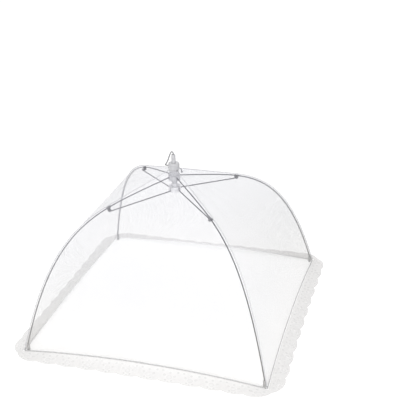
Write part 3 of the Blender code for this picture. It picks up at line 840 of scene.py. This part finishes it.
# Lace
# A strip of pierced white lace with a scalloped edge is sewn under the hem tape.
# It lies on the table round the cover and is gathered at the corners.
LACE_W = 0.0260
LACE_REACH = CANOPY_C + TAPE_HALF_W + 2 * GAP
LACE_SCALLOPS = 12
SCALLOP_DEPTH = 0.0040
SCALLOP_STEPS = 12
SCALLOP_POWER = 0.8
LACE_ROWS = 8
LACE_TURN = math.radians(45.0)
LACE_TURN_SHARE = 0.14
LACE_CORNER_SHARE = 0.45
LACE_EDGE_Z = 0.0010
RIPPLE = 0.0006
RIPPLE_LOWEST = -0.0004
RIPPLE_PHASE = 0.7
LACE_DEPTH = 0.0004
LACE_PAINTED_LIGHT = (0.82, 0.815, 0.81)
LACE_PAINTED_THIN_SHARE = 0.75
LACE_HOLE_ALPHA = 0.54
LACE_THREAD_MORE = 0.14
EYELET_STRETCH = 0.85
EYELETS = [
    (0.0, 0.60, 0.13),
    (-0.24, 0.50, 0.07),
    (0.24, 0.50, 0.07),
    (-0.14, 0.82, 0.05),
    (0.14, 0.82, 0.05),
    (0.0, 0.28, 0.06),
    (-0.36, 0.22, 0.06),
    (0.36, 0.22, 0.06),
    (0.0, 0.90, 0.04),
]


def lace_group():
    """Pierced lace with eyelets in each scallop: each has a place along, a place out and a radius."""
    group = bpy.data.node_groups.new("pierced lace", "ShaderNodeTree")
    socket_of(group, "Alpha", "NodeSocketFloat", "OUTPUT")
    socket_of(group, "Height", "NodeSocketFloat", "OUTPUT")
    end = group.nodes.new("NodeGroupOutput")
    place = group.nodes.new("ShaderNodeTexCoord")
    split = group.nodes.new("ShaderNodeSeparateXYZ")
    group.links.new(place.outputs["UV"], split.inputs["Vector"])
    cell = math_node(group, "FRACT", split.outputs["X"])
    centred = math_node(group, "SUBTRACT", cell, 0.5)
    eyes = None
    for along, out, radius in EYELETS:
        dx = math_node(group, "SUBTRACT", centred, along)
        dy = math_node(group, "SUBTRACT", split.outputs["Y"], out)
        dy = math_node(group, "MULTIPLY", dy, EYELET_STRETCH)
        dx_square = math_node(group, "MULTIPLY", dx, dx)
        dy_square = math_node(group, "MULTIPLY", dy, dy)
        away = math_node(group, "SQRT", math_node(group, "ADD", dx_square, dy_square))
        hole = math_node(group, "LESS_THAN", away, radius)
        eyes = hole if eyes is None else math_node(group, "MAXIMUM", eyes, hole)
    solid = math_node(group, "SUBTRACT", 1.0, eyes, clamp=True)
    threads = math_node(group, "MULTIPLY", solid, LACE_THREAD_MORE)
    alpha = math_node(group, "ADD", threads, LACE_HOLE_ALPHA, clamp=True)
    group.links.new(alpha, end.inputs["Alpha"])
    group.links.new(solid, end.inputs["Height"])
    return group


lace_painted_light_look, lace_tree, lace_shader, lace_soil = uneven_material(
    "white lace", (0.80, 0.785, 0.775), (0.74, 0.735, 0.73), scale=60.0, roughness=0.85, change=0.1)
lace_node = lace_tree.nodes.new("ShaderNodeGroup")
lace_node.node_tree = lace_group()
# Painted light: the lace, like the hem, is made whiter and thinner towards the back left corner.
painted_light_at_back(lace_tree, lace_shader, lace_soil, lace_node.outputs["Alpha"], LACE_PAINTED_LIGHT, LACE_PAINTED_THIN_SHARE)
add_relief(lace_tree, lace_shader, lace_node.outputs["Height"], strength=0.5, depth=LACE_DEPTH)
for side, angle, half, arm in halves():
    grid = [[] for _ in range(LACE_ROWS + 1)]
    uvs = [[] for _ in range(LACE_ROWS + 1)]
    for share in half_shares(half, LACE_SCALLOPS * SCALLOP_STEPS // 2):
        along = (share + 1) / 2 * LACE_SCALLOPS
        slack = 1 - share ** 2
        wave = abs(math.sin(math.pi * along)) ** SCALLOP_POWER
        turned = max(0.0, (abs(share) - 1 + LACE_TURN_SHARE) / LACE_TURN_SHARE)
        gather = 1 - (1 - LACE_CORNER_SHARE) * turned ** 2
        width = (LACE_W - SCALLOP_DEPTH * (1 - wave)) * gather
        heading = LACE_TURN * turned * math.copysign(1, share)
        x0 = LACE_REACH - HEM_BOW * slack
        y0 = LACE_REACH * share
        z0 = HEM_Z + HEM_RAISE * slack
        for i in range(LACE_ROWS + 1):
            out = i / LACE_ROWS
            lift = RIPPLE * math.sin(2 * math.pi * along + RIPPLE_PHASE) * math.sin(math.pi * out)
            z = z0 + (LACE_EDGE_Z - z0) * out + max(RIPPLE_LOWEST, lift)
            grid[i].append(at_angle(angle, x0 + width * out * math.cos(heading),
                                    y0 + width * out * math.sin(heading), z))
            uvs[i].append((along, out))
    lace = grid_piece(f"lace_{side}_{half}", grid, uvs, lace_painted_light_look)
    folds_with_rib(lace, side, arm)
    if half == "left":
        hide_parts(f"lace_{side}")

# Floor, backdrop and lamps
# A plain white table and a plain white sky, both brighter as seen than as they light the cover.
# Two large soft lamps stand overhead and in front, and a weak one behind.
FLOOR_SIZE = 12.0
FLOOR_DROP = 0.0002
GLOW_NEAR_R = 0.7
GLOW_FAR_R = 2.0
GLOW_NEAR = 0.25
GLOW_FAR = 0.50
SKY_LIGHT = 0.55
SKY_SEEN_MORE = 0.45


def seen_share(tree, rays):
    """1 for the given kinds of ray and 0 for others."""
    light_path = tree.nodes.new("ShaderNodeLightPath")
    seen = light_path.outputs[rays[0]]
    for ray in rays[1:]:
        seen = math_node(tree, "MAXIMUM", seen, light_path.outputs[ray])
    return seen


bpy.ops.object.select_all(action="DESELECT")
bpy.ops.mesh.primitive_plane_add(size=FLOOR_SIZE, location=(0.0, 0.0, -FLOOR_DROP))
floor = bpy.context.object
floor.name = "floor"
floor_look, floor_tree, floor_shader = node_material("white table", (0.92, 0.92, 0.92), roughness=0.7)
glow = floor_tree.nodes.new("ShaderNodeEmission")
glow.inputs["Color"].default_value = (1.0, 1.0, 1.0, 1.0)
floor_place = floor_tree.nodes.new("ShaderNodeTexCoord")
floor_away = floor_tree.nodes.new("ShaderNodeVectorMath")
floor_away.operation = "LENGTH"
floor_tree.links.new(floor_place.outputs["Object"], floor_away.inputs[0])
floor_glow = ranged(floor_tree, floor_away.outputs["Value"], GLOW_NEAR_R, GLOW_FAR_R,
                    low=GLOW_NEAR, high=GLOW_FAR)
floor_tree.links.new(floor_glow, glow.inputs["Strength"])
floor_sum = floor_tree.nodes.new("ShaderNodeAddShader")
floor_blend = floor_tree.nodes.new("ShaderNodeMixShader")
floor_output = floor_tree.nodes["Material Output"]
floor_seen = seen_share(floor_tree, ("Is Camera Ray", "Is Glossy Ray", "Is Transmission Ray"))
floor_tree.links.new(floor_shader.outputs["BSDF"], floor_sum.inputs[0])
floor_tree.links.new(glow.outputs["Emission"], floor_sum.inputs[1])
floor_tree.links.new(floor_seen, floor_blend.inputs["Fac"])
floor_tree.links.new(floor_shader.outputs["BSDF"], floor_blend.inputs[1])
floor_tree.links.new(floor_sum.outputs["Shader"], floor_blend.inputs[2])
floor_tree.links.new(floor_blend.outputs["Shader"], floor_output.inputs["Surface"])
floor.data.materials.append(floor_look)

world = bpy.data.worlds.new("studio")
bpy.context.scene.world = world
world.use_nodes = True
sky_tree = world.node_tree
sky = sky_tree.nodes["Background"]
sky_seen = seen_share(sky_tree, ("Is Camera Ray", "Is Transmission Ray"))
sky_more = math_node(sky_tree, "MULTIPLY", sky_seen, SKY_SEEN_MORE)
sky_strength = math_node(sky_tree, "ADD", sky_more, SKY_LIGHT)
sky_tree.links.new(sky_strength, sky.inputs["Strength"])
sky.inputs["Color"].default_value = (1.0, 1.0, 1.0, 1.0)


def area_lamp(name, place, target, size, power):
    """A square soft lamp that faces its target."""
    lamp = bpy.data.lights.new(name, "AREA")
    lamp.energy = power
    lamp.size = size
    made = add_object(name, lamp)
    made.location = place
    made.rotation_euler = (Vector(target) - Vector(place)).to_track_quat("-Z", "Y").to_euler()


area_lamp("overhead softbox", place=(0.2, -0.3, 2.2), target=(0.0, 0.0, 0.1), size=1.6, power=20.0)
area_lamp("front softbox", place=(0.3, -2.3, 0.9), target=(0.0, 0.0, 0.12), size=1.2, power=26.0)
area_lamp("back softbox", place=(-0.4, 2.0, 1.3), target=(0.0, 0.2, 0.05), size=1.2, power=5.0)
